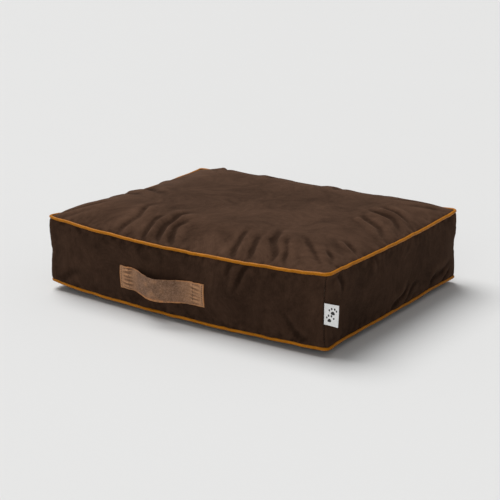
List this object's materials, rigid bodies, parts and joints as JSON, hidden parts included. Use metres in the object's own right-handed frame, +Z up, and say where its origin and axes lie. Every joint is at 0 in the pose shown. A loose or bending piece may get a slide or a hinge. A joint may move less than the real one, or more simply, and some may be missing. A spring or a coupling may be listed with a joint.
{
  "type": "pet cushion bed",
  "caption": "Rectangular boxed cushion bed for a pet: dark velvet cover with contrast leather piping, a leather carrying strap, a corner label, a back zip and a fibre-filled inner pad.",
  "frame": {"origin": "on the floor under the middle of the bed, halfway between its piped long edges and its piped short edges", "axes": "+Z up; +X along the long side, towards the labelled corner; the carrying strap faces -Y and the zip +Y"},
  "size_m": [0.9418, 0.7648, 0.244],
  "materials": {
    "velvet": "dark brown brushed velvet",
    "base_cloth": "dark brown plain-woven base cloth",
    "tan_leather": "smooth tan leather",
    "brown_leather": "worn mid-brown suede leather",
    "cotton_cord": "twisted cotton piping cord",
    "zip_tape": "woven polyester tape",
    "zip_coil": "moulded nylon coil",
    "brass": "antique brass",
    "thread": "waxed brown thread",
    "label_satin": "white woven satin",
    "cotton": "plain unbleached cotton",
    "fibre": "loose polyester fibre"
  },
  "bodies": {
    "cover": {"cover_top_panel": "velvet", "cover_bottom_panel": "base_cloth", "cover_front_band": "velvet", "cover_right_band": "velvet", "cover_left_band": "velvet", "cover_back_band_upper": "velvet", "cover_back_band_lower": "velvet", "top_piping": "tan_leather", "top_piping_cord": "cotton_cord", "bottom_piping": "tan_leather", "bottom_piping_cord": "cotton_cord", "handle_end_left": "brown_leather", "handle_end_right": "brown_leather", "handle_stitching_left": "thread", "handle_stitching_right": "thread", "zip_tape_upper": "zip_tape", "zip_tape_lower": "zip_tape", "zip_coil_upper": "zip_coil", "zip_coil_lower": "zip_coil", "zip_stop_closed_end": "brass", "zip_stop_open_end": "brass", "pad_case_top": "cotton", "pad_case_bottom": "cotton", "fibre_filling": "fibre"},
    "handle": {"handle_grip": "brown_leather"},
    "label": {"label_tag": "label_satin"},
    "slider": {"zip_slider": "brass"},
    "pull": {"zip_pull_link": "brass", "zip_pull_tab": "tan_leather"}
  },
  "joints": [
    {"name": "handle_lift", "type": "hinge", "parent": "cover", "child": "handle", "pos_m": [-0.037, -0.37, 0.126], "axis": [-1, 0, 0], "range_deg": [0, 50]},
    {"name": "label_flap", "type": "hinge", "parent": "cover", "child": "label", "pos_m": [0.44505, -0.34255, 0.1115], "axis": [0, 0, 1], "range_deg": [-130, 30]},
    {"name": "zip_slider_travel", "type": "slide", "parent": "cover", "child": "slider", "axis": [-1, 0, 0], "range_m": [0, 0.658]},
    {"name": "zip_pull_swing", "type": "hinge", "parent": "slider", "child": "pull", "pos_m": [0.3297, 0.3583, 0.116], "axis": [1, 0, 0], "range_deg": [0, 150]}
  ]
}
